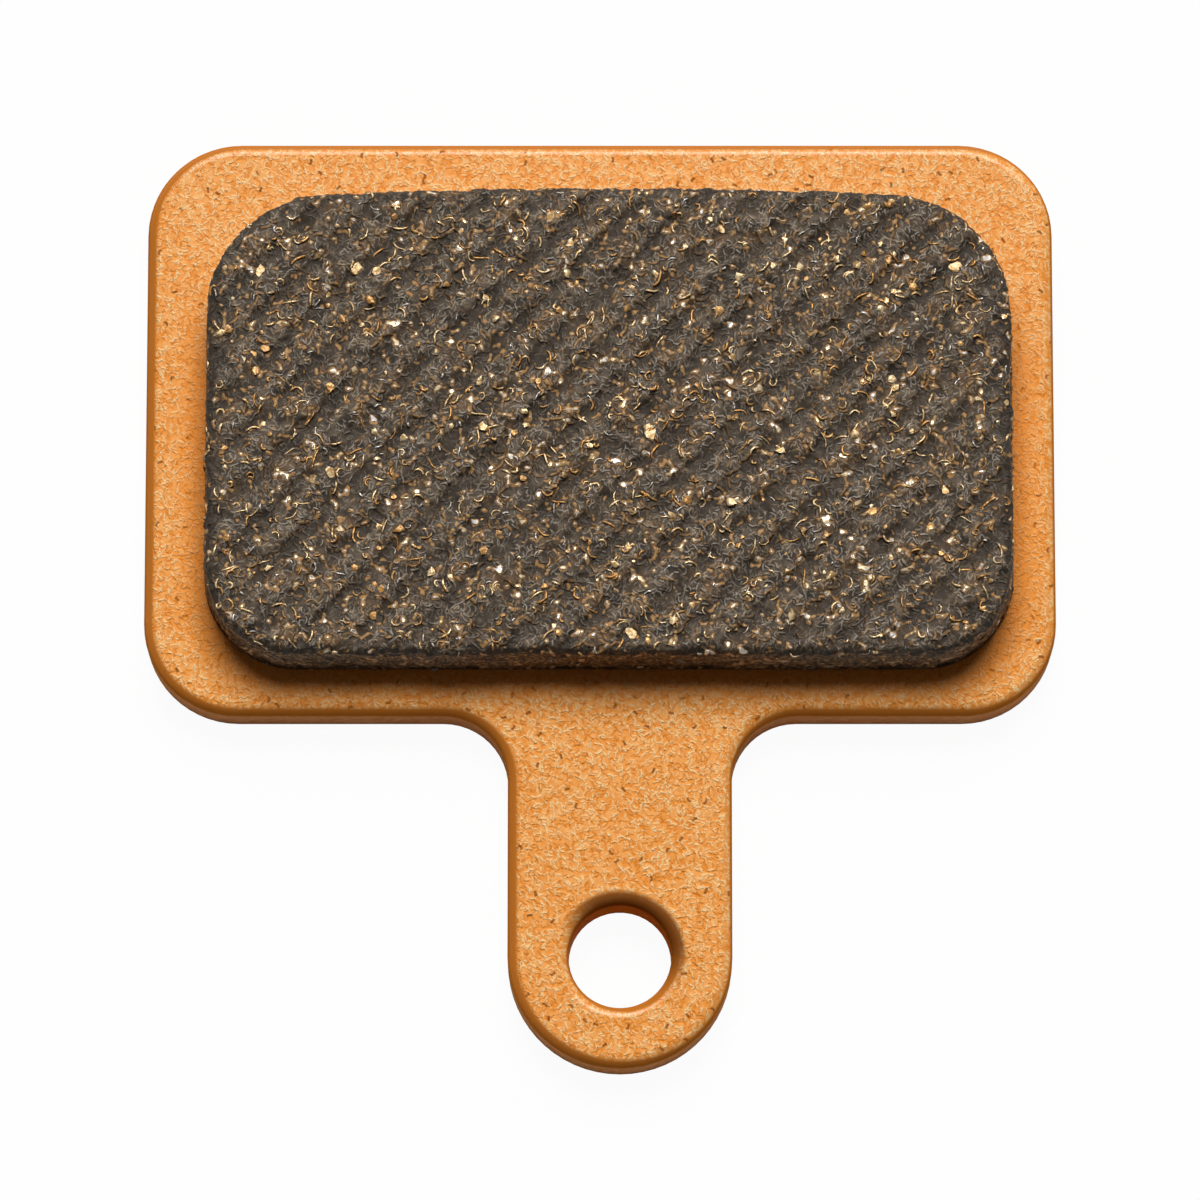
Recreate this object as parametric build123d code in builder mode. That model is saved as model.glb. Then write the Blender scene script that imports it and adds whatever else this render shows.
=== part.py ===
from build123d import *
import os
from math import ceil

# Bicycle disc brake pad: a blanked steel backing plate with a moulded friction block bonded to its face.
# The pad lies on its back. The origin is on the axis of the retaining-pin hole, at the plate's back face.
# +X runs across the pad, +Y from the tab to the plate's outer edge, and +Z from the back to the friction face.
# All sizes are in millimetres and all angles in degrees.

# Backing plate
PLATE_WIDTH = 28.6
PLATE_HEIGHT = 18.4
PLATE_THICKNESS = 1.8
PLATE_CORNER_RADIUS = 2.95
PLATE_EDGE_RADIUS = 0.4  # rolled rim that blanking leaves on the face
BACK_EDGE_BREAK = 0.12  # deburring of the back

# Tab that hangs the pad on the caliper's retaining pin
TAB_WIDTH = 7.0
TAB_REACH = 7.6  # from the pin hole's axis to the plate's inner edge
TAB_OFFSET = 0.62  # from the plate's centre line
TAB_ROOT_RADIUS = 2.05
PIN_HOLE_DIAMETER = 3.2
PIN_HOLE_LIP_RADIUS = 0.35

# Friction block, placed by the bare land that it leaves on the plate
LEFT_LAND = 1.88
RIGHT_LAND = 1.32
INNER_LAND = 1.42
OUTER_LAND = 1.8
BLOCK_THICKNESS = 2.2
BLOCK_OUTER_CORNER_RADIUS = 3.95
BLOCK_INNER_CORNER_RADIUS = 2.95
BLOCK_CROWN = 0.38  # bow of the outer edge, which follows the rotor's rim
BLOCK_DRAFT = 3.0  # lean of the moulded walls
BLOCK_EDGE_RADIUS = 0.45

# Diagonal grooves moulded across the friction face
GROOVE_PITCH = 1.18
GROOVE_WIDTH = 0.56
GROOVE_DEPTH = 0.12
GROOVE_ANGLE = 45.0

plate_left = -TAB_OFFSET - PLATE_WIDTH / 2
plate_right = plate_left + PLATE_WIDTH
plate_inner = TAB_REACH
plate_outer = plate_inner + PLATE_HEIGHT
plate_middle = ((plate_left + plate_right) / 2, (plate_inner + plate_outer) / 2)

block_left = plate_left + LEFT_LAND
block_right = plate_right - RIGHT_LAND
block_inner = plate_inner + INNER_LAND
block_outer = plate_outer - OUTER_LAND
block_shoulder = block_outer - BLOCK_CROWN
block_middle = ((block_left + block_right) / 2, (block_inner + block_outer) / 2)
friction_height = PLATE_THICKNESS + BLOCK_THICKNESS

# Backing plate: the blank with its tab and pin hole, then the rolled face edges and the deburred back
with BuildPart() as backing_plate:
    with BuildSketch() as blank:
        with Locations(plate_middle):
            RectangleRounded(PLATE_WIDTH, PLATE_HEIGHT, PLATE_CORNER_RADIUS)
        with Locations((0, TAB_REACH / 2)):
            Rectangle(TAB_WIDTH, TAB_REACH)
        Circle(TAB_WIDTH / 2)
        tab_roots = blank.vertices().sort_by_distance((0, TAB_REACH))[:2]
        fillet(tab_roots, TAB_ROOT_RADIUS)
        Circle(PIN_HOLE_DIAMETER / 2, mode=Mode.SUBTRACT)
    extrude(amount=PLATE_THICKNESS)
    face = backing_plate.faces().sort_by(Axis.Z)[-1]
    fillet(face.outer_wire().edges(), PLATE_EDGE_RADIUS)
    face = backing_plate.faces().sort_by(Axis.Z)[-1]
    fillet(face.inner_wires()[0].edges(), PIN_HOLE_LIP_RADIUS)
    back = backing_plate.faces().sort_by(Axis.Z)[0]
    chamfer(back.edges(), BACK_EDGE_BREAK)

# Friction block: drafted walls on a footprint with a bowed outer edge, a rounded rim and a grooved face
with BuildPart() as friction_block:
    with BuildSketch(Plane.XY.offset(PLATE_THICKNESS)) as footprint:
        with BuildLine():
            sides = Polyline(
                (block_left, block_shoulder),
                (block_left, block_inner),
                (block_right, block_inner),
                (block_right, block_shoulder),
            )
            SagittaArc(sides @ 1, sides @ 0, -BLOCK_CROWN)
        make_face()
        fillet(footprint.vertices().sort_by(Axis.Y)[-2:], BLOCK_OUTER_CORNER_RADIUS)
        fillet(footprint.vertices().sort_by(Axis.Y)[:2], BLOCK_INNER_CORNER_RADIUS)
    extrude(amount=BLOCK_THICKNESS)
    walls = friction_block.faces().filter_by(Axis.Z, reverse=True)
    draft(walls, Plane.XY.offset(PLATE_THICKNESS), BLOCK_DRAFT)
    face = friction_block.faces().sort_by(Axis.Z)[-1]
    fillet(face.edges(), BLOCK_EDGE_RADIUS)

    # Each groove is the bottom of a round cutter that runs along the groove plane's normal
    groove_run = Vector(1, 0, 0).rotate(Axis.Z, GROOVE_ANGLE)
    groove_plane = Plane(
        origin=(*block_middle, friction_height),
        x_dir=groove_run.rotate(Axis.Z, 90),
        z_dir=groove_run,
    )
    block_diagonal = Vector(block_right - block_left, block_outer - block_inner).length
    groove_count = ceil(block_diagonal / GROOVE_PITCH)
    cutter_radius = (GROOVE_WIDTH**2 / 4 + GROOVE_DEPTH**2) / (2 * GROOVE_DEPTH)
    with BuildSketch(groove_plane):
        with Locations((0, cutter_radius - GROOVE_DEPTH)):
            with GridLocations(GROOVE_PITCH, 0, groove_count, 1):
                Circle(cutter_radius)
    extrude(amount=block_diagonal, both=True, mode=Mode.SUBTRACT)

backing_plate.part.label = "backing_plate"
friction_block.part.label = "friction_block"

os.makedirs("parts", exist_ok=True)
export_step(backing_plate.part, "parts/backing_plate.step")
export_step(friction_block.part, "parts/friction_block.step")
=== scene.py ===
"""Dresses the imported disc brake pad: plating, a rough friction compound full of metal, and a studio."""
import math
import random

import bpy
from mathutils import Matrix, Vector
from mathutils.bvhtree import BVHTree


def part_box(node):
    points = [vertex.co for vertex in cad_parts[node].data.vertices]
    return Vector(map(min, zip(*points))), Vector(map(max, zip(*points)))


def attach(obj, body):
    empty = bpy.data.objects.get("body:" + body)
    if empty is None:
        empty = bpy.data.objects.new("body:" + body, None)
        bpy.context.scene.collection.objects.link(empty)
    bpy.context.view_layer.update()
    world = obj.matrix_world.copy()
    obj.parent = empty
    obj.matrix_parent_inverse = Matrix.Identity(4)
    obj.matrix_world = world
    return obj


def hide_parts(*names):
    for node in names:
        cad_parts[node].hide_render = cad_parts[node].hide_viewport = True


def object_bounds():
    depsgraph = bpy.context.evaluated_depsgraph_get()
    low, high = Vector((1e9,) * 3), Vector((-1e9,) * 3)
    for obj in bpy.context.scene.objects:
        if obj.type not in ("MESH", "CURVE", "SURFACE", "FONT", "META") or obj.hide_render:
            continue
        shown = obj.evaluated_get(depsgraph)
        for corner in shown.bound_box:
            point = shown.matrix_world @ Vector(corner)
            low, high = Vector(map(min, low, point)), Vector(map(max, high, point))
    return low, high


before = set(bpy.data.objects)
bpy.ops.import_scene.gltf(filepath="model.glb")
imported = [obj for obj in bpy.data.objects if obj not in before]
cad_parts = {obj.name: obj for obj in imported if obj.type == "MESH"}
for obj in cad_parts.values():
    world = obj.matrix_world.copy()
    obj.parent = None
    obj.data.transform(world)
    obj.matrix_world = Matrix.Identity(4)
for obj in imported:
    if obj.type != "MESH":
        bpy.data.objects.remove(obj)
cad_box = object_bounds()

bl_info = {
    "name": "Disc brake pad",
    "version": (1, 0, 0),
    "blender": (4, 5, 0),
    "location": "3D View > Sidebar > Brake pad",
    "description": "Dresses a bicycle disc brake pad: plated backing plate, friction compound and studio",
    "category": "Object",
}

MM = 0.001
PLATE = "backing_plate"
BLOCK = "friction_block"
MATRIX = "friction_matrix"
SKIN_GROUP = "skin"
BODY = "root"

# Points of a mesh that lie closer than this are one point
MERGE_DISTANCE = 0.001 * MM
CAP_MERGE_DISTANCE = 0.01 * MERGE_DISTANCE

# Painted shade and painted shadow on the plating, and its pits
HOLE_SHADE_START = 1.92 * MM
HOLE_SHADE_END = 2.14 * MM
HOLE_SIDE_START = -0.6 * MM
HOLE_SIDE_END = 1.4 * MM
BLOCK_CORNER = 2.5 * MM
FOOT_SHADOW_END = 0.8 * MM
BLOCK_SHADOW_START = 0.2 * MM
BLOCK_SHADOW_END = 1.3 * MM
SHADOW_FULL_FROM_TOP = 6.0 * MM
SHADOW_GONE_FROM_TOP = 2.0 * MM
PIT_SPACING = 0.8 * MM
PIT_LENGTH = 0.2 * MM
PIT_WIDTH = 0.13 * MM

# Sizes of the patterns in the compound and on the loose metal
PATCH_SIZE = 0.4 * MM
CLUSTER_SIZE = 0.9 * MM
SPARK_SIZE = 0.3 * MM
WALL_GRAIN_SIZE = 0.12 * MM
GROOVE_DEPTH = 0.21 * MM
LAND_DEPTH = 0.01 * MM
# Width of the painted shade along the block's left and right edges
SIDE_SHADE_START = 0.9 * MM
SIDE_SHADE_END = 0.1 * MM
COMPOUND_RELIEF = 0.05 * MM
TARNISH_SIZE = 0.3 * MM
SCUFF_SIZE = 0.05 * MM
GLINT_SIZE = 0.11 * MM
GLINT_RELIEF = 0.04 * MM

# The block's mesh: voxels that its walls reach below the plate, and over which the roughness sets in
VOXELS_BELOW = 4
VOXELS_OF_FOOT = 3
BLOCK_SMOOTH_ANGLE = math.radians(70)

# How often metal lies on upright walls and off the lands, as against once on the lands
WALL_SHARE = 0.4
OFF_LAND_SHARE = 0.4
LAND_TOLERANCE = 0.02 * MM

# Chips, all drawn from one seed
CHIP_SEED = 11
CHIP_BASE = -0.4
CHIP_FORM = (1.0, 0.7, 0.6)
CHIP_TILT = 0.4
CHIP_SMOOTH_ANGLE = math.radians(40)
SMALL_CHIP = 0.06 * MM
LARGE_BRASS_CHIP = 0.21 * MM
LARGE_COPPER_CHIP = 0.2 * MM
SMALL_NUGGET = 0.2 * MM
LARGE_NUGGET = 0.36 * MM

# Fibres, all drawn from another seed
FIBRE_SEED = 23
FIBRE_STEPS = 6
END_SHARE = 0.6
SHORT_FIBRE = 0.2 * MM
LONG_BRASS_FIBRE = 0.65 * MM
LONG_COPPER_FIBRE = 0.7 * MM
SHORT_STEEL_FIBRE = 0.12 * MM
LONG_STEEL_FIBRE = 0.45 * MM
STEEL_RADIUS_SHARE = 0.85
FIBRE_CURL = 0.9
STEEL_CURL = 0.5

SENSOR_WIDTH = 36.0

plate_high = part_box(PLATE)[1]
block_low, block_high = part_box(BLOCK)


# Sizes and colours that a user would change

class PlateFinish(bpy.types.PropertyGroup):
    """Colours of the plating and the sizes of its grain"""

    copper: bpy.props.FloatVectorProperty(
        name="Plating",
        description="Main colour of the plating",
        subtype="COLOR",
        default=(0.95, 0.47, 0.15),
    )
    # Deeper, redder plating: a real tone of the plating, also used for painted shade in the sunk strokes and
    # for the painted shadow south of the block
    deep_and_shade: bpy.props.FloatVectorProperty(
        name="Deep plating",
        description="Colour of the plating where it is darker and redder",
        subtype="COLOR",
        default=(0.82, 0.265, 0.03),
    )
    # Paler raised strokes: a painted sheen on the grain
    pale: bpy.props.FloatVectorProperty(
        name="Raised grain",
        description="Colour of the raised strokes of the grain",
        subtype="COLOR",
        default=(0.99, 0.725, 0.37),
    )
    dark: bpy.props.FloatVectorProperty(
        name="Pits",
        description="Colour in the pits",
        subtype="COLOR",
        default=(0.28, 0.075, 0.008),
    )
    # Colour of the rims: partly the dull brown of the smooth rounded rims, partly painted shade on them; also
    # used for the painted shadow at the block's foot and the painted shade on the hole's wall
    rim_and_shade: bpy.props.FloatVectorProperty(
        name="Rim",
        description="Colour of the smooth rounded rims and of the hole's stained wall",
        subtype="COLOR",
        default=(0.54, 0.17, 0.02),
    )
    # Sheared walls: a dull colour that is partly real and partly painted shade on walls turned from the light
    edge: bpy.props.FloatVectorProperty(
        name="Sheared edge",
        description="Colour of the sheared walls, where the plating is thin and dull",
        subtype="COLOR",
        default=(0.68, 0.3, 0.126),
    )
    # Painted shade on the hole's lip, on its side towards the block
    painted_lip_shade: bpy.props.FloatVectorProperty(
        name="Lip of the hole",
        description="Colour of the hole's lip where it is stained",
        subtype="COLOR",
        default=(0.19, 0.055, 0.007),
    )
    grain: bpy.props.FloatProperty(
        name="Grain size",
        description="Distance between two strokes of the grain",
        unit="LENGTH",
        default=0.17 * MM,
    )
    relief: bpy.props.FloatProperty(
        name="Grain relief",
        description="Height of the grain",
        unit="LENGTH",
        default=0.013 * MM,
    )


class CompoundShape(bpy.types.PropertyGroup):
    """Sizes of the friction block's rough skin"""

    voxel: bpy.props.FloatProperty(
        name="Mesh size",
        description="Size of the faces of the block's mesh",
        unit="LENGTH",
        default=0.086 * MM,
    )
    lump_size: bpy.props.FloatProperty(
        name="Lump size",
        description="Width of the broad lumps",
        unit="LENGTH",
        default=0.7 * MM,
    )
    lump_height: bpy.props.FloatProperty(
        name="Lump height",
        description="Height between the hollows and the tops of the broad lumps",
        unit="LENGTH",
        default=0.15 * MM,
    )
    grit_size: bpy.props.FloatProperty(
        name="Grit size",
        description="Width of the grains of grit",
        unit="LENGTH",
        default=0.3 * MM,
    )
    grit_height: bpy.props.FloatProperty(
        name="Grit height",
        description="Height of the grains of grit",
        unit="LENGTH",
        default=0.11 * MM,
    )
    dust_size: bpy.props.FloatProperty(
        name="Dust size",
        description="Width of the finest roughness in the mesh",
        unit="LENGTH",
        default=0.16 * MM,
    )
    dust_height: bpy.props.FloatProperty(
        name="Dust height",
        description="Height of the finest roughness in the mesh",
        unit="LENGTH",
        default=0.08 * MM,
    )


class CompoundColours(bpy.types.PropertyGroup):
    """Colours of the friction compound and of the metal in it"""

    # Resin: also the painted side shade and tarnish of the steel fibres
    resin: bpy.props.FloatVectorProperty(
        name="Resin",
        description="Main colour of the compound, and of the tarnish on steel",
        subtype="COLOR",
        default=(0.131, 0.096, 0.064),
    )
    # Sooty colour: real dark patches of the compound, and also painted shade in the hollows, grooves and
    # along the block's left and right edges, and painted shadow round the flecks
    soot_and_shade: bpy.props.FloatVectorProperty(
        name="Soot",
        description="Colour in the hollows of the compound",
        subtype="COLOR",
        default=(0.034, 0.0245, 0.0165),
    )
    ash: bpy.props.FloatVectorProperty(
        name="Ash",
        description="Colour of the pale mineral strokes, and of the steel fibres",
        subtype="COLOR",
        default=(0.5, 0.435, 0.36),
    )
    tan: bpy.props.FloatVectorProperty(
        name="Tan",
        description="Colour of the warm strokes between the grey ones",
        subtype="COLOR",
        default=(0.46, 0.335, 0.205),
    )
    # Rust: also the painted side shade and tarnish of the brass and copper pieces
    rust: bpy.props.FloatVectorProperty(
        name="Rust",
        description="Colour of the brown stains, and of the tarnish on brass and copper",
        subtype="COLOR",
        default=(0.2, 0.1, 0.035),
    )
    # Brass glints: painted highlights on the brass pieces and on the flecks' cores
    brass: bpy.props.FloatVectorProperty(
        name="Brass glints",
        description="Colour of the glints on the brass pieces",
        subtype="COLOR",
        default=(0.98, 0.78, 0.47),
    )
    # Bronze: also the painted warm bounce light on the block's walls, and the painted side shade of the
    # nuggets together with their tarnish
    bronze: bpy.props.FloatVectorProperty(
        name="Bronze",
        description="Colour of the brown strokes, of the rims of the flecks and of the nuggets' tarnish",
        subtype="COLOR",
        default=(0.5, 0.265, 0.092),
    )
    copper: bpy.props.FloatVectorProperty(
        name="Copper",
        description="Colour of the copper chips and fibres",
        subtype="COLOR",
        default=(0.74, 0.34, 0.075),
    )
    # Gold: the painted glints of the copper pieces too
    gold: bpy.props.FloatVectorProperty(
        name="Brass",
        description="Main colour of the brass pieces, and of the glints on the copper ones",
        subtype="COLOR",
        default=(0.76, 0.46, 0.17),
    )
    # Steel glints: painted highlights on the steel fibres and on the flecks' cores
    steel: bpy.props.FloatVectorProperty(
        name="Steel glints",
        description="Colour of the glints on the steel fibres",
        subtype="COLOR",
        default=(0.88, 0.83, 0.77),
    )


class MetalShare(bpy.types.PropertyGroup):
    """How much metal lies in the skin of the friction block"""

    brass_chips: bpy.props.IntProperty(
        name="Brass chips", description="Number of small brass chips", default=190, min=0
    )
    copper_chips: bpy.props.IntProperty(
        name="Copper chips", description="Number of small copper chips", default=130, min=0
    )
    nuggets: bpy.props.IntProperty(
        name="Nuggets", description="Number of large brass chips", default=10, min=0
    )
    brass_fibres: bpy.props.IntProperty(
        name="Brass fibres", description="Number of brass fibres", default=520, min=0
    )
    copper_fibres: bpy.props.IntProperty(
        name="Copper fibres", description="Number of copper fibres", default=320, min=0
    )
    steel_fibres: bpy.props.IntProperty(
        name="Steel fibres", description="Number of steel fibres", default=280, min=0
    )
    fibre_radius: bpy.props.FloatProperty(
        name="Fibre radius",
        description="Mean radius of the brass and copper fibres",
        unit="LENGTH",
        default=0.042 * MM,
    )


class Studio(bpy.types.PropertyGroup):
    """Camera, light and floor"""

    elevation: bpy.props.FloatProperty(
        name="Elevation",
        description="Angle of the camera above the floor",
        subtype="ANGLE",
        default=math.radians(79.0),
    )
    distance: bpy.props.FloatProperty(
        name="Distance",
        description="Distance from the camera to the pad",
        unit="LENGTH",
        default=250 * MM,
    )
    view_width: bpy.props.FloatProperty(
        name="View width",
        description="Width of the picture at the pad",
        unit="LENGTH",
        default=37.6 * MM,
    )
    key_power: bpy.props.FloatProperty(
        name="Key lamp", description="Power of the key lamp", unit="POWER", default=28.5
    )
    key_size: bpy.props.FloatProperty(
        name="Key lamp size",
        description="Width of the key lamp's soft box",
        unit="LENGTH",
        default=990 * MM,
    )
    key_towards: bpy.props.FloatVectorProperty(
        name="Key lamp direction",
        description="Direction from the pad to the key lamp",
        subtype="DIRECTION",
        default=(0.03, 0.64, 1.0),
    )
    lamp_distance: bpy.props.FloatProperty(
        name="Lamp distance",
        description="Distance from the pad to the lamps",
        unit="LENGTH",
        default=1600 * MM,
    )
    rim_power: bpy.props.FloatProperty(
        name="Rim lamp", description="Power of the low lamp behind the pad", unit="POWER", default=1.2
    )
    rim_towards: bpy.props.FloatVectorProperty(
        name="Rim lamp direction",
        description="Direction from the pad to the low lamp behind it",
        subtype="DIRECTION",
        default=(0.1, 1.0, 0.36),
    )
    rim_size: bpy.props.FloatProperty(
        name="Rim lamp size",
        description="Width of the rim lamp's soft box",
        unit="LENGTH",
        default=510 * MM,
    )
    sky_bright: bpy.props.FloatProperty(
        name="Sky, lamp side", description="Brightness of the room on the lamp's side", default=0.09
    )
    sky_dim: bpy.props.FloatProperty(
        name="Sky, far side", description="Brightness of the room away from the lamp", default=0.02
    )
    floor_size: bpy.props.FloatProperty(
        name="Floor", description="Width of the floor", unit="LENGTH", default=4.0
    )
    floor_grey: bpy.props.FloatProperty(
        name="Floor grey", description="Share of the lamps' light that the floor gives back", default=0.8
    )
    floor_white: bpy.props.FloatProperty(
        name="Floor white",
        description="Share of the floor's look that is plain white, the rest being lit",
        subtype="FACTOR",
        default=0.955,
        min=0.0,
        max=1.0,
    )


class PadSettings(bpy.types.PropertyGroup):
    """All settings of the pad"""

    plate: bpy.props.PointerProperty(type=PlateFinish)
    shape: bpy.props.PointerProperty(type=CompoundShape)
    colours: bpy.props.PointerProperty(type=CompoundColours)
    metal: bpy.props.PointerProperty(type=MetalShare)
    studio: bpy.props.PointerProperty(type=Studio)


# Shader nodes

def socket_named(sockets, name):
    """The socket with this name that is in use, or the one at this place."""
    if isinstance(name, int):
        return sockets[name]
    return next(s for s in sockets if s.enabled and s.name == name)


class Value:
    """An output socket. Python's operators on one that carries a number add Math nodes."""

    def __init__(self, finish, socket):
        self.finish = finish
        self.socket = socket

    def math(self, operation, first, second=0.0):
        return self.finish.node("ShaderNodeMath", {"operation": operation}, {0: first, 1: second})

    def __add__(self, other):
        return self.math("ADD", self, other)

    def __radd__(self, other):
        return self.math("ADD", other, self)

    def __sub__(self, other):
        return self.math("SUBTRACT", self, other)

    def __rsub__(self, other):
        return self.math("SUBTRACT", other, self)

    def __mul__(self, other):
        return self.math("MULTIPLY", self, other)

    def __rmul__(self, other):
        return self.math("MULTIPLY", other, self)

    def __abs__(self):
        return self.math("ABSOLUTE", self)

    def beside(self, output):
        """Another output of the same node."""
        return Value(self.finish, socket_named(self.socket.node.outputs, output))


class Finish:
    """A node tree that is filled one node at a time."""

    def __init__(self, tree):
        self.tree = tree
        tree.nodes.clear()

    def node(self, kind, settings, sockets, output=0):
        """Adds a node, with its settings first and then its sockets, and returns one of its outputs."""
        made = self.tree.nodes.new(kind)
        for name, setting in settings.items():
            setattr(made, name, setting)
        for name, value in sockets.items():
            socket = socket_named(made.inputs, name)
            if isinstance(value, Value):
                self.tree.links.new(value.socket, socket)
            elif socket.type == "RGBA":
                socket.default_value = (*value, 1.0)
            else:
                socket.default_value = value
        if not made.outputs:
            return None
        return Value(self, socket_named(made.outputs, output))

    def place(self, seed=0.0):
        """Object coordinates, moved aside by a seed so that no two patterns fall together."""
        here = self.node("ShaderNodeTexCoord", {}, {}, "Object")
        if not seed:
            return here
        sockets = {0: here, 1: (0.031 * seed, 0.047 * seed, 0.023 * seed)}
        return self.node("ShaderNodeVectorMath", {"operation": "ADD"}, sockets, "Vector")

    def split(self, vector):
        """The three numbers of a vector or colour."""
        first = self.node("ShaderNodeSeparateXYZ", {}, {"Vector": vector}, "X")
        return first, first.beside("Y"), first.beside("Z")

    def facing_up(self):
        """How far a surface faces straight up or down: 1 on level faces and 0 on upright walls."""
        return abs(self.split(self.node("ShaderNodeNewGeometry", {}, {}, "Normal"))[2])

    def facing_left(self):
        """How far a surface faces left, seen from above: 1 on left walls and -1 on right ones."""
        return -1.0 * self.split(self.node("ShaderNodeNewGeometry", {}, {}, "Normal"))[0]

    def from_box(self, low, high, corner):
        """Distance from a box with rounded corners, seen from above."""
        away = []
        for here, first, last in zip(self.split(self.place()), low.xy, high.xy):
            outside = abs(here - (first + last) / 2) - ((last - first) / 2 - corner)
            away.append(outside.math("MAXIMUM", outside, 0.0))
        square = away[0] * away[0] + away[1] * away[1]
        return square.math("SQRT", square) - corner

    def noise(self, size, seed, detail=2.0):
        sockets = {"Vector": self.place(seed), "Scale": 1.0 / size, "Detail": detail}
        return self.node("ShaderNodeTexNoise", {"noise_dimensions": "3D"}, sockets, "Fac")

    def fade(self, value, start, end):
        """0 up to start, 1 from end on, and smooth between them."""
        sockets = {"Value": value, "From Min": start, "From Max": end}
        return self.node("ShaderNodeMapRange", {"interpolation_type": "SMOOTHSTEP"}, sockets)

    def fall(self, value, start, end):
        """1 up to start, 0 from end on, and smooth between them."""
        sockets = {"Value": value, "From Min": start, "From Max": end, "To Min": 1.0, "To Max": 0.0}
        return self.node("ShaderNodeMapRange", {"interpolation_type": "SMOOTHSTEP"}, sockets)

    def strokes(self, spacing, seed, length, width, curl):
        """Short curled strokes seen from above, one to a cell and turned at random, and a chance for each."""
        here = self.place(seed)
        sockets = {"Vector": here, "Scale": 1.0 / spacing}
        cell = self.node("ShaderNodeTexVoronoi", {"voronoi_dimensions": "2D"}, sockets, "Position")
        turn, bend, chance = self.split(cell.beside("Color"))
        sockets = {0: here, 1: cell}
        offset = self.node("ShaderNodeVectorMath", {"operation": "SUBTRACT"}, sockets, "Vector")
        sockets = {"Vector": offset, "Angle": math.tau * turn}
        offset = self.node("ShaderNodeVectorRotate", {"rotation_type": "Z_AXIS"}, sockets)
        along, across, _ = self.split(offset)
        along = along * (2.0 / length)
        arc = along * along
        away = abs(across * (2.0 / width) - curl * (bend - 0.5) * arc)
        return self.fall(away, 0.2, 1.0) * self.fall(arc, 0.5, 1.0), chance

    def mix(self, share, first, second):
        sockets = {"Factor": share, "A": first, "B": second}
        return self.node("ShaderNodeMix", {"data_type": "RGBA"}, sockets, "Result")

    def relief(self, height, depth):
        return self.node("ShaderNodeBump", {}, {"Height": height, "Distance": depth, "Strength": 1.0})

    def output(self, shader, kind="ShaderNodeOutputMaterial"):
        self.node(kind, {}, {"Surface": shader})


def new_material(name):
    """An empty material, and the finish that fills it."""
    material = bpy.data.materials.new(name)
    material.use_nodes = True
    return material, Finish(material.node_tree)


def plated_steel(plate):
    """Satin copper plating with a grain of short strokes and small pits, smooth and brown at the rims; raised
    strokes carry a painted sheen and sunk ones painted shade, and painted shade and shadow lie on the rims,
    walls, hole's lip and south of the block.
    """
    material, finish = new_material("satin_copper_plating")
    upward = finish.facing_up()
    level = finish.fade(upward, 0.9, 0.995)
    # Mask of the rims: brown rims are partly real; the term for left-facing normals widens them on the left
    # as painted shade on the side turned from the light
    rim_and_shade = finish.fall(upward - 0.35 * finish.facing_left(), 0.78, 0.99)
    wall = finish.fall(upward, 0.02, 0.35)
    across, along, _ = finish.split(finish.place())
    # The hole's axis is the origin, and painted shade lies on the hole's lip on its side towards the block
    hole_shade = finish.fall(across * across + along * along, HOLE_SHADE_START**2, HOLE_SHADE_END**2)
    hole_shade = hole_shade * finish.fade(0.5 * across + along, HOLE_SIDE_START, HOLE_SIDE_END)
    # Painted shadow south of the block: a deeper, redder band on the level plate, darkest at the foot
    reach = finish.from_box(block_low, block_high, BLOCK_CORNER)
    full, gone = block_high.y - SHADOW_FULL_FROM_TOP, block_high.y - SHADOW_GONE_FROM_TOP
    shadow_side = level * finish.fall(along, full, gone)
    foot = shadow_side * finish.fall(reach, 0.0, FOOT_SHADOW_END)
    block_shadow = shadow_side * finish.fall(reach, BLOCK_SHADOW_START, BLOCK_SHADOW_END)
    patch = finish.fade(finish.noise(1.5 * plate.grain, 2.0), 0.3, 0.7)
    tone = finish.mix(0.25 + 0.5 * patch, plate.deep_and_shade, plate.copper)
    height = 0.5 * patch
    for layer, share in enumerate((1.2, 1.0, 0.85)):
        spacing = share * plate.grain
        stroke, chance = finish.strokes(spacing, 3.0 + layer, 1.4 * spacing, 0.5 * spacing, 3.0)
        raised = stroke * finish.fade(chance, 0.45, 0.8)
        sunk = stroke * finish.fall(chance, 0.15, 0.45)
        # Raised strokes painted paler as a painted sheen, sunk strokes painted deeper as painted shade
        tone = finish.mix(0.55 * raised, tone, plate.pale)
        tone = finish.mix(0.9 * sunk, tone, plate.deep_and_shade)
        height = height + raised - sunk
    pit, pit_chance = finish.strokes(PIT_SPACING, 8.0, PIT_LENGTH, PIT_WIDTH, 1.5)
    pit = pit * finish.fade(pit_chance, 0.4, 0.5)
    tone = finish.mix(0.85 * pit, tone, plate.dark)
    # Rims take their colour, partly painted shade
    tone = finish.mix(rim_and_shade, tone, plate.rim_and_shade)
    # Upright walls: dull sheared colour, partly painted shade
    tone = finish.mix(wall, tone, finish.mix(0.45 * patch, plate.edge, plate.rim_and_shade))
    # Painted shadow south of the block, and painted contact shadow at its foot
    tone = finish.mix(0.65 * block_shadow, tone, plate.deep_and_shade)
    tone = finish.mix(0.4 * foot, tone, plate.rim_and_shade)
    # Painted shade round the hole: darkest on the lip, and the rims' colour on the wall inside
    lip = finish.fade(upward, 0.1, 0.5)
    tone = finish.mix(0.95 * hole_shade, tone, finish.mix(lip, plate.rim_and_shade, plate.painted_lip_shade))
    gloss = finish.fade(upward, 0.6, 0.8) * (0.6 - 0.48 * finish.fade(upward, 0.985, 0.9995))
    height = level * (1.0 - hole_shade) * (height - pit) + wall * patch
    sockets = {
        "Base Color": tone,
        "Metallic": 0.08 * finish.fade(upward, 0.5, 0.85),
        "Roughness": 0.4 + 0.3 * level,
        "Specular IOR Level": 0.0,
        "Coat Weight": (1.0 - pit) * gloss,
        "Coat Roughness": 0.22,
        "Normal": finish.relief(height, plate.relief),
    }
    finish.output(finish.node("ShaderNodeBsdfPrincipled", {}, sockets))
    return material


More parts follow.
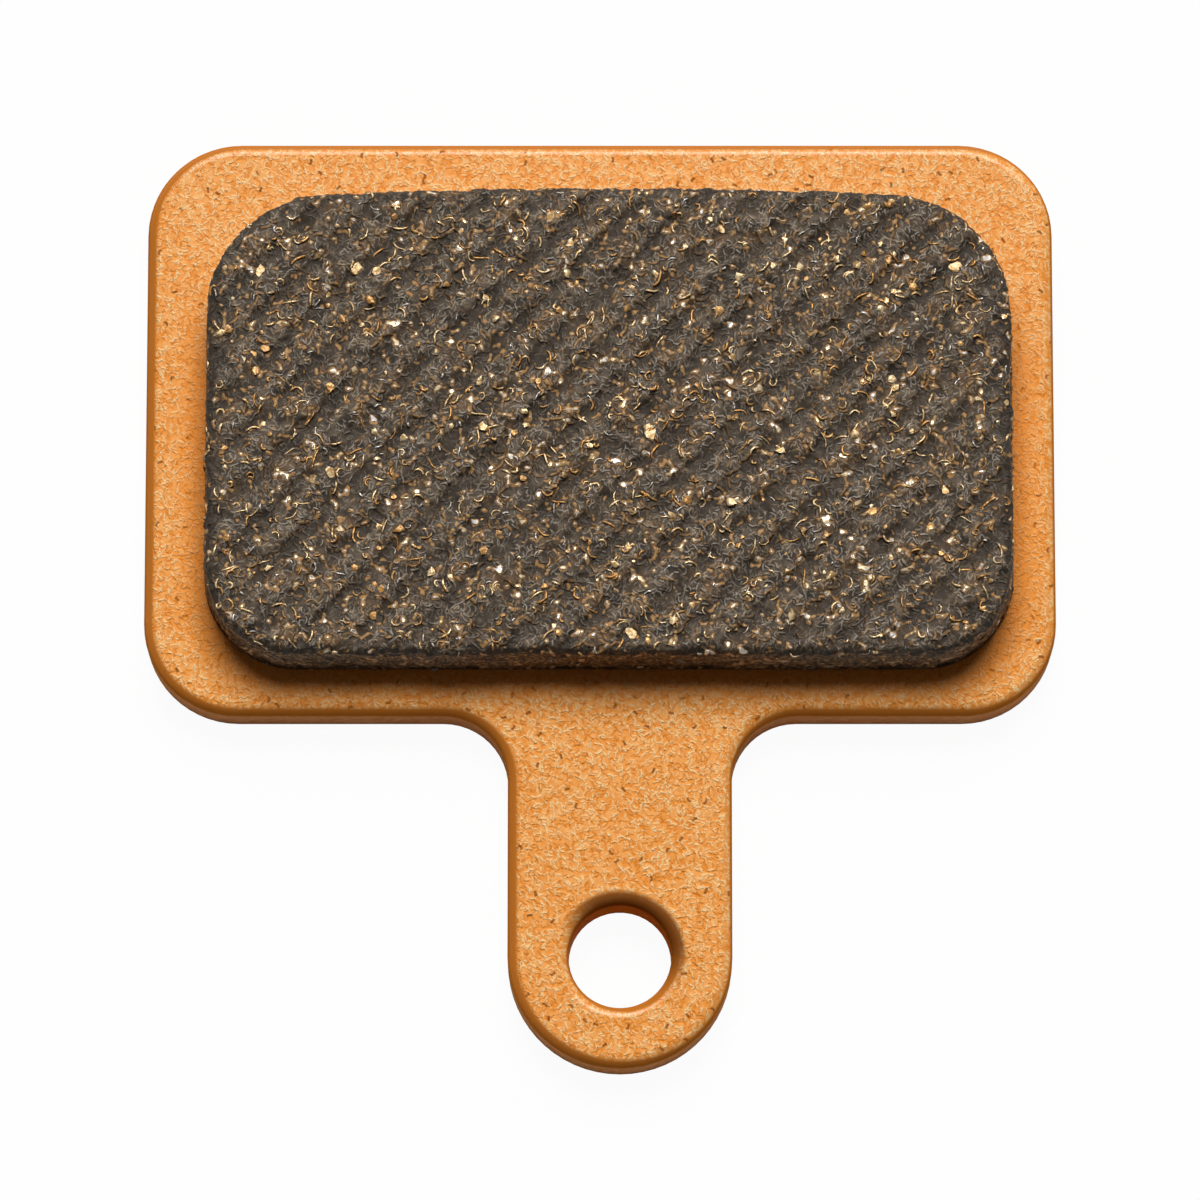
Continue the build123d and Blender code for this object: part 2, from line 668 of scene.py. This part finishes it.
def friction_compound(colours):
    """Dark compound with a felt of grey and brown strokes and flecks with painted glints and painted shadow
    rings; painted shade in the hollows, grooves and along the left and right edges, and painted bounce light
    on the walls.
    """
    material, finish = new_material("friction_compound_matrix")
    upward = finish.facing_up()
    level = finish.fade(upward, 0.25, 0.65)
    patch = finish.fade(finish.noise(PATCH_SIZE, 2.0), 0.35, 0.65)
    cluster = finish.noise(CLUSTER_SIZE, 3.0)
    tone = finish.mix(patch, colours.soot_and_shade, colours.resin)
    tone = finish.mix(0.5 * finish.fade(cluster, 0.5, 0.68), tone, colours.rust)
    height = 0.5 * patch
    # Spacing of the strokes, the chance from which they show, and their colour
    felt = (
        (0.15 * MM, 0.2, colours.ash),
        (0.18 * MM, 0.2, colours.tan),
        (0.22 * MM, 0.3, colours.ash),
        (0.34 * MM, 0.6, colours.bronze),
    )
    for layer, (spacing, gap, colour) in enumerate(felt):
        stroke, chance = finish.strokes(spacing, 4.0 + layer, 1.6 * spacing, 0.42 * spacing, 6.0)
        stroke = level * stroke * finish.fade(chance, gap, 1.0)
        tone = finish.mix(0.6 * stroke, tone, colour)
        # The finest two layers lie flat
        if layer > 1:
            height = height + stroke
    pointed = finish.node("ShaderNodeNewGeometry", {}, {}, "Pointiness")
    hollow_shade = finish.fall(pointed, 0.42, 0.52)
    across, _, up = finish.split(finish.place())
    sunk = finish.fall(up, block_high.z - GROOVE_DEPTH, block_high.z - LAND_DEPTH)
    half = (block_high.x - block_low.x) / 2
    side = finish.fade(abs(across - (block_low.x + half)), half - SIDE_SHADE_START, half - SIDE_SHADE_END)
    # Painted shade in the hollows, found by pointiness
    tone = finish.mix(0.6 * hollow_shade, tone, colours.soot_and_shade)
    # Painted shade in the grooves between the lands
    tone = finish.mix(0.75 * sunk, tone, colours.soot_and_shade)
    # Painted shade along the block's left and right edges
    tone = finish.mix(0.65 * side, tone, colours.soot_and_shade)
    wall = finish.fall(upward, 0.1, 0.4)
    grain = finish.noise(WALL_GRAIN_SIZE, 13.0, detail=1.0)
    # Walls tinted bronze: painted warm light bounced from the plate
    tone = finish.mix(0.3 * wall, tone, colours.bronze)
    tone = finish.mix(0.5 * wall * finish.fade(grain, 0.52, 0.64), tone, colours.tan)
    tone = finish.mix(0.7 * wall * finish.fall(grain, 0.38, 0.5), tone, colours.soot_and_shade)
    spark = finish.noise(SPARK_SIZE, 12.0, detail=1.0) + 0.35 * cluster
    halo = finish.fade(spark, 0.77, 0.85)
    # A dark ring round each fleck: painted shadow
    tone = finish.mix(0.6 * finish.fade(spark, 0.69, 0.76), tone, colours.soot_and_shade)
    # Pale fleck cores: painted glints, dimmer off the level faces
    core = (0.3 + 0.7 * level) * finish.fade(spark, 0.85, 0.91)
    tone = finish.mix(0.8 * halo, tone, colours.bronze)
    tone = finish.mix(core, tone, finish.mix(patch, colours.steel, colours.brass))
    sockets = {
        "Base Color": tone,
        "Metallic": 0.4 * core,
        "Roughness": 0.7 - 0.3 * core,
        "Specular IOR Level": 0.25,
        "Normal": finish.relief(height + core, COMPOUND_RELIEF),
    }
    finish.output(finish.node("ShaderNodeBsdfPrincipled", {}, sockets))
    return material


def loose_metal(name, colour, glint, shade, tarnish, roughness):
    """Metal of the chips or fibres: painted light on top with small painted glints, painted shade on its
    sides, and tarnished in places.
    """
    material, finish = new_material(name)
    # Tops painted lighter than the sides, whose darker colour is painted shade together with real tarnish;
    # the glint colour is a painted highlight
    lit_untarnished = finish.fade(finish.facing_up(), 0.4, 0.9)
    dull = finish.fade(finish.noise(TARNISH_SIZE, 1.0), 0.35, 0.65)
    scuff = finish.noise(SCUFF_SIZE, 2.0, detail=0.0)
    shine = finish.noise(GLINT_SIZE, 3.0, detail=1.0)
    lit_untarnished = lit_untarnished * (1.0 - tarnish * dull)
    tone = finish.mix(lit_untarnished, shade, colour)
    tone = finish.mix(lit_untarnished * finish.fade(shine, 0.42, 0.55), tone, glint)
    sockets = {
        "Base Color": tone,
        "Metallic": 0.4,
        "Roughness": roughness - 0.1 + 0.2 * scuff,
        "Specular IOR Level": 0.8,
        "Normal": finish.relief(shine, GLINT_RELIEF),
    }
    finish.output(finish.node("ShaderNodeBsdfPrincipled", {}, sockets))
    return material


# Modelling

def make_active(piece):
    bpy.ops.object.select_all(action="DESELECT")
    piece.select_set(True)
    bpy.context.view_layer.objects.active = piece


def add_piece(name, data):
    """A new object at the origin, alone selected and active."""
    piece = bpy.data.objects.new(name, data)
    bpy.context.scene.collection.objects.link(piece)
    make_active(piece)
    return piece


def merge_doubles(distance):
    """Joins the active mesh where its points lie on each other, and turns its faces outwards."""
    bpy.ops.object.mode_set(mode="EDIT")
    bpy.ops.mesh.select_all(action="SELECT")
    bpy.ops.mesh.remove_doubles(threshold=distance)
    bpy.ops.mesh.normals_make_consistent(inside=False)
    bpy.ops.object.mode_set(mode="OBJECT")


def select_points(piece, chosen):
    """Selects the points of the active mesh that a test chooses, and stays in edit mode."""
    bpy.ops.object.mode_set(mode="EDIT")
    bpy.ops.mesh.select_mode(type="VERT")
    bpy.ops.mesh.select_all(action="DESELECT")
    bpy.ops.object.mode_set(mode="OBJECT")
    for point in piece.data.vertices:
        point.select = chosen(point.co)
    bpy.ops.object.mode_set(mode="EDIT")


def roughen(piece, name, kind, size, height, group, **settings):
    """Raises and sinks the skin by a solid texture, along its own normals."""
    texture = bpy.data.textures.new(name, kind)
    texture.noise_scale = size
    for setting, value in settings.items():
        setattr(texture, setting, value)
    rough = piece.modifiers.new(name, "DISPLACE")
    rough.texture = texture
    rough.texture_coords = "LOCAL"
    rough.strength = height
    rough.mid_level = 0.5
    rough.vertex_group = group
    bpy.ops.object.modifier_apply(modifier=rough.name)


def mould_block(shape):
    """The friction block: a fine mesh of the CAD block, cut level at the plate and roughened above it."""
    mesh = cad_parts[BLOCK].data.copy()
    piece = add_piece(MATRIX, mesh)
    bpy.ops.mesh.customdata_custom_splitnormals_clear()
    merge_doubles(MERGE_DISTANCE)
    # The walls reach below the plate's face, so that the cut leaves a sharp foot
    select_points(piece, lambda place: place.z < block_low.z + MERGE_DISTANCE)
    bpy.ops.transform.translate(value=(0, 0, -VOXELS_BELOW * shape.voxel))
    bpy.ops.object.mode_set(mode="OBJECT")
    remesh = piece.modifiers.new("fine_mesh", "REMESH")
    remesh.mode = "VOXEL"
    remesh.voxel_size = shape.voxel
    bpy.ops.object.modifier_apply(modifier=remesh.name)
    bpy.ops.object.mode_set(mode="EDIT")
    bpy.ops.mesh.select_all(action="SELECT")
    bpy.ops.mesh.bisect(
        plane_co=(0, 0, block_low.z),
        plane_no=(0, 0, 1),
        use_fill=True,
        clear_inner=True,
        threshold=MERGE_DISTANCE,
    )
    # The cut leaves one face, which becomes a fan
    bpy.ops.mesh.poke()
    bpy.ops.object.mode_set(mode="OBJECT")
    skin = piece.vertex_groups.new(name=SKIN_GROUP)
    foot = VOXELS_OF_FOOT * shape.voxel
    for point in piece.data.vertices:
        share = (point.co.z - block_low.z) / foot
        skin.add([point.index], min(max(share, 0.0), 1.0), "REPLACE")
    grains = {"weight_1": -1.0, "weight_2": 1.0}
    roughen(piece, "lumps", "CLOUDS", shape.lump_size, shape.lump_height, SKIN_GROUP, noise_depth=1)
    roughen(piece, "grit", "VORONOI", shape.grit_size, shape.grit_height, SKIN_GROUP, **grains)
    roughen(piece, "dust", "CLOUDS", shape.dust_size, shape.dust_height, SKIN_GROUP, noise_depth=0)
    bpy.ops.object.shade_smooth_by_angle(angle=BLOCK_SMOOTH_ANGLE)
    return piece


class Skin:
    """The block's finished skin, on which the metal is laid."""

    def __init__(self, piece, seed):
        self.random = random.Random(seed)
        self.tree = BVHTree.FromObject(piece, bpy.context.evaluated_depsgraph_get())
        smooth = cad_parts[BLOCK].data
        corners = [v.co for v in smooth.vertices]
        self.smooth = BVHTree.FromPolygons(corners, [tuple(f.vertices) for f in smooth.polygons])
        # The block's underside faces down and takes no metal
        faces = [f for f in piece.data.polygons if f.normal.z > -0.5]
        self.places = [f.center.copy() for f in faces]
        total = 0.0
        self.sums = []
        for face in faces:
            total += face.area * (WALL_SHARE + (1.0 - WALL_SHARE) * max(face.normal.z, 0.0))
            self.sums.append(total)

    def spot(self):
        """A point on the skin, less often off the lands, and the normal of the smooth block there."""
        while True:
            place = self.random.choices(self.places, cum_weights=self.sums)[0]
            under, normal, _, _ = self.smooth.find_nearest(place)
            on_land = under.z > block_high.z - LAND_TOLERANCE
            if on_land or self.random.random() < OFF_LAND_SHARE:
                return place.copy(), normal

    def heading(self, normal):
        """A random direction along the skin."""
        while True:
            arrow = Vector([self.random.uniform(-1, 1) for _ in range(3)])
            arrow -= normal * arrow.dot(normal)
            if arrow.length > 0.1:
                return arrow.normalized()


def chip_shape(seed, rounds, knock, top):
    """One chip of metal: a small ball knocked out of true and cut flat below and above."""
    bpy.ops.object.select_all(action="DESELECT")
    bpy.ops.mesh.primitive_ico_sphere_add(subdivisions=rounds, radius=1.0)
    chip = bpy.context.object
    bpy.ops.object.mode_set(mode="EDIT")
    bpy.ops.transform.vertex_random(offset=knock, seed=seed)
    for height, up in ((top, 1), (CHIP_BASE, -1)):
        bpy.ops.mesh.select_all(action="SELECT")
        bpy.ops.mesh.bisect(plane_co=(0, 0, height), plane_no=(0, 0, up), use_fill=True, clear_outer=True)
    bpy.ops.mesh.select_all(action="SELECT")
    bpy.ops.transform.resize(value=CHIP_FORM)
    bpy.ops.object.mode_set(mode="OBJECT")
    points = [v.co.copy() for v in chip.data.vertices]
    faces = [tuple(f.vertices) for f in chip.data.polygons]
    bpy.data.meshes.remove(chip.data)
    return points, faces


def lay_chips(name, skin, shapes, count, small, large):
    """Many chips in one mesh, each set into the skin at its own size, turn and tilt."""
    points, faces = [], []
    for _ in range(count):
        shape_points, shape_faces = skin.random.choice(shapes)
        place, normal = skin.spot()
        along = skin.heading(normal)
        up = (normal + skin.random.uniform(0.0, CHIP_TILT) * skin.heading(normal)).normalized()
        side = up.cross(along).normalized()
        along = side.cross(up)
        size = small + (large - small) * skin.random.random() ** 2
        turn = Matrix((along, side, up)).transposed()
        place = place + normal * size * skin.random.uniform(-0.2, 0.1)
        first = len(points)
        points += [place + turn @ (p * size) for p in shape_points]
        faces += [tuple(first + i for i in f) for f in shape_faces]
    mesh = bpy.data.meshes.new(name)
    mesh.from_pydata(points, [], faces)
    piece = add_piece(name, mesh)
    bpy.ops.object.shade_smooth_by_angle(angle=CHIP_SMOOTH_ANGLE)
    return piece


def lay_fibres(name, skin, count, radius, short, long, curl):
    """Many fibres in one mesh, each a thin tube that follows the skin and dips into it at its ends."""
    ends = (0, FIBRE_STEPS - 1)
    curve = bpy.data.curves.new(name, "CURVE")
    curve.dimensions = "3D"
    curve.bevel_depth = 1.0
    curve.bevel_resolution = 0
    curve.use_fill_caps = True
    for _ in range(count):
        place, normal = skin.spot()
        along = skin.heading(normal)
        length = skin.random.uniform(short, long)
        thick = radius * skin.random.uniform(0.7, 1.3)
        bend = skin.random.uniform(-curl, curl)
        path = []
        for step in range(FIBRE_STEPS):
            sunk = END_SHARE if step in ends else -skin.random.uniform(0.1, 0.6)
            path.append(place - normal * thick * sunk)
            bend += skin.random.uniform(-0.3, 0.3) * curl
            along = Matrix.Rotation(bend, 3, normal) @ along
            place, normal, _, _ = skin.tree.find_nearest(place + along * length / (FIBRE_STEPS - 1))
            along = (along - normal * along.dot(normal)).normalized()
        spline = curve.splines.new("POLY")
        spline.points.add(FIBRE_STEPS - 1)
        for index, (point, where) in enumerate(zip(spline.points, path)):
            point.co = (*where, 1.0)
            point.radius = thick * (END_SHARE if index in ends else 1.0)
    piece = add_piece(name, curve)
    bpy.ops.object.convert(target="MESH")
    merge_doubles(CAP_MERGE_DISTANCE)
    bpy.ops.object.shade_smooth()
    return bpy.context.object


def finish_piece(piece, material):
    """Gives a piece of the compound its material and its place in the assembly."""
    piece.data.materials.clear()
    piece.data.materials.append(material)
    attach(piece, BODY)


class BRAKEPAD_OT_plate(bpy.types.Operator):
    """Give the steel backing plate its copper plating"""

    bl_idname = "brakepad.plate"
    bl_label = "Plated backing plate"

    def execute(self, context):
        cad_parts[PLATE].data.materials[0] = plated_steel(context.scene.brake_pad.plate)
        return {"FINISHED"}


class BRAKEPAD_OT_block(bpy.types.Operator):
    """Mould the friction block with its rough skin"""

    bl_idname = "brakepad.block"
    bl_label = "Friction block"

    def execute(self, context):
        settings = context.scene.brake_pad
        piece = mould_block(settings.shape)
        finish_piece(piece, friction_compound(settings.colours))
        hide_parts(BLOCK)
        return {"FINISHED"}


class BRAKEPAD_OT_chips(bpy.types.Operator):
    """Set brass and copper chips into the friction block"""

    bl_idname = "brakepad.chips"
    bl_label = "Metal chips"

    def execute(self, context):
        settings = context.scene.brake_pad
        metal, colours = settings.metal, settings.colours
        skin = Skin(bpy.data.objects[MATRIX], CHIP_SEED)
        sharp = [chip_shape(seed, rounds=1, knock=0.55, top=0.7) for seed in range(1, 9)]
        rounded = [chip_shape(seed, rounds=2, knock=0.35, top=0.4) for seed in range(1, 7)]
        # Name, shapes, number, smallest and largest size
        rows = (
            ("brass_chips", sharp, metal.brass_chips, SMALL_CHIP, LARGE_BRASS_CHIP),
            ("copper_chips", sharp, metal.copper_chips, SMALL_CHIP, LARGE_COPPER_CHIP),
            ("brass_nuggets", rounded, metal.nuggets, SMALL_NUGGET, LARGE_NUGGET),
        )
        # Name, colour, painted glint, painted side shade and tarnish, share of the tarnish, roughness
        looks = (
            ("brass_chip_metal", colours.gold, colours.brass, colours.rust, 0.6, 0.45),
            ("copper_chip_metal", colours.copper, colours.gold, colours.rust, 0.7, 0.45),
            ("brass_nugget_metal", colours.gold, colours.brass, colours.bronze, 0.5, 0.6),
        )
        for (name, *chips), look in zip(rows, looks):
            finish_piece(lay_chips(name, skin, *chips), loose_metal(*look))
        return {"FINISHED"}


class BRAKEPAD_OT_fibres(bpy.types.Operator):
    """Lay brass, copper and steel fibres along the friction block's skin"""

    bl_idname = "brakepad.fibres"
    bl_label = "Metal fibres"

    def execute(self, context):
        settings = context.scene.brake_pad
        metal, colours = settings.metal, settings.colours
        skin = Skin(bpy.data.objects[MATRIX], FIBRE_SEED)
        radius = metal.fibre_radius
        thin = STEEL_RADIUS_SHARE * radius
        # Name, number, radius, shortest and longest length, curl
        rows = (
            ("brass_fibres", metal.brass_fibres, radius, SHORT_FIBRE, LONG_BRASS_FIBRE, FIBRE_CURL),
            ("copper_fibres", metal.copper_fibres, radius, SHORT_FIBRE, LONG_COPPER_FIBRE, FIBRE_CURL),
            ("steel_fibres", metal.steel_fibres, thin, SHORT_STEEL_FIBRE, LONG_STEEL_FIBRE, STEEL_CURL),
        )
        # Name, colour, painted glint, painted side shade and tarnish, share of the tarnish, roughness
        looks = (
            ("brass_fibre_metal", colours.gold, colours.brass, colours.rust, 0.5, 0.4),
            ("copper_fibre_metal", colours.copper, colours.gold, colours.rust, 0.7, 0.45),
            ("steel_fibre_metal", colours.ash, colours.steel, colours.resin, 0.7, 0.4),
        )
        for (name, *fibres), look in zip(rows, looks):
            finish_piece(lay_fibres(name, skin, *fibres), loose_metal(*look))
        return {"FINISHED"}


class BRAKEPAD_OT_studio(bpy.types.Operator):
    """Set up the floor, the light and the camera"""

    bl_idname = "brakepad.studio"
    bl_label = "Studio"

    def execute(self, context):
        scene = context.scene
        studio = scene.brake_pad.studio
        low, high = cad_box
        target = (low + high) / 2
        target.z = plate_high.z
        self.add_floor(studio, low.z)
        self.add_room(scene, studio)
        self.add_lamp("key_lamp", studio.key_towards, studio.key_size, studio.key_power, target)
        self.add_lamp("rim_lamp", studio.rim_towards, studio.rim_size, studio.rim_power, target)
        self.add_camera(scene, studio, target)
        scene.view_settings.view_transform = "Standard"
        return {"FINISHED"}

    def add_floor(self, studio, level):
        bpy.ops.mesh.primitive_plane_add(size=studio.floor_size, location=(0, 0, level))
        floor = bpy.context.object
        floor.name = "studio_floor"
        material, finish = new_material("studio_floor_white")
        seen = [
            finish.node("ShaderNodeLightPath", {}, {}, ray)
            for ray in ("Is Camera Ray", "Is Glossy Ray", "Is Transmission Ray")
        ]
        share = studio.floor_white * self.either(finish, seen)
        lit = finish.node("ShaderNodeBsdfDiffuse", {}, {"Color": [studio.floor_grey] * 3})
        white = finish.node("ShaderNodeEmission", {}, {"Color": (1.0, 1.0, 1.0), "Strength": 1.0})
        finish.output(finish.node("ShaderNodeMixShader", {}, {0: share, 1: lit, 2: white}))
        floor.data.materials.append(material)

    def either(self, finish, rays):
        """1 where any of the rays is there."""
        total = rays[0] + rays[1] + rays[2]
        return finish.node("ShaderNodeClamp", {}, {"Value": total})

    def add_room(self, scene, studio):
        """A plain room, brighter towards the key lamp."""
        world = bpy.data.worlds.new("studio_room")
        world.use_nodes = True
        scene.world = world
        finish = Finish(world.node_tree)
        towards = Vector(studio.key_towards).normalized()
        ray = finish.node("ShaderNodeTexCoord", {}, {}, "Generated")
        sockets = {0: ray, 1: towards}
        turn = finish.node("ShaderNodeVectorMath", {"operation": "DOT_PRODUCT"}, sockets, "Value")
        sockets = {
            "Value": turn,
            "From Min": -1.0,
            "From Max": 1.0,
            "To Min": studio.sky_dim,
            "To Max": studio.sky_bright,
        }
        level = finish.node("ShaderNodeMapRange", {}, sockets)
        light = finish.node("ShaderNodeBackground", {}, {"Color": (1.0, 1.0, 1.0), "Strength": level})
        finish.output(light, "ShaderNodeOutputWorld")

    def add_lamp(self, name, direction, size, power, target):
        """A round soft box that faces the pad."""
        towards = Vector(direction).normalized()
        place = target + towards * bpy.context.scene.brake_pad.studio.lamp_distance
        turn = (-towards).to_track_quat("-Z", "Y").to_euler()
        bpy.ops.object.light_add(type="AREA", location=place, rotation=turn)
        lamp = bpy.context.object
        lamp.name = name
        lamp.data.shape = "DISK"
        lamp.data.size = size
        lamp.data.energy = power

    def add_camera(self, scene, studio, target):
        back = Vector((0, -math.cos(studio.elevation), math.sin(studio.elevation)))
        turn = (math.pi / 2 - studio.elevation, 0, 0)
        bpy.ops.object.camera_add(location=target + back * studio.distance, rotation=turn)
        camera = bpy.context.object
        camera.name = "studio_camera"
        camera.data.sensor_width = SENSOR_WIDTH
        camera.data.lens = SENSOR_WIDTH * studio.distance / studio.view_width
        camera.data.clip_start = 10 * MM
        scene.camera = camera


class VIEW3D_PT_brake_pad(bpy.types.Panel):
    """Settings and steps of the brake pad"""

    bl_label = "Brake pad"
    bl_category = "Brake pad"
    bl_space_type = "VIEW_3D"
    bl_region_type = "UI"

    def draw(self, context):
        settings = context.scene.brake_pad
        for group in (settings.plate, settings.shape, settings.colours, settings.metal, settings.studio):
            box = self.layout.box()
            for name in group.bl_rna.properties.keys():
                if name not in ("rna_type", "name"):
                    box.prop(group, name)
        for step in STEPS:
            self.layout.operator(step.bl_idname)


STEPS = (
    BRAKEPAD_OT_plate,
    BRAKEPAD_OT_block,
    BRAKEPAD_OT_chips,
    BRAKEPAD_OT_fibres,
    BRAKEPAD_OT_studio,
)
CLASSES = (
    PlateFinish,
    CompoundShape,
    CompoundColours,
    MetalShare,
    Studio,
    PadSettings,
    *STEPS,
    VIEW3D_PT_brake_pad,
)


def register():
    for item in CLASSES:
        bpy.utils.register_class(item)
    bpy.types.Scene.brake_pad = bpy.props.PointerProperty(type=PadSettings)


def unregister():
    del bpy.types.Scene.brake_pad
    for item in reversed(CLASSES):
        bpy.utils.unregister_class(item)


def main():
    register()
    bpy.ops.brakepad.plate()
    bpy.ops.brakepad.block()
    bpy.ops.brakepad.chips()
    bpy.ops.brakepad.fibres()
    bpy.ops.brakepad.studio()


if __name__ == "__main__":
    main()
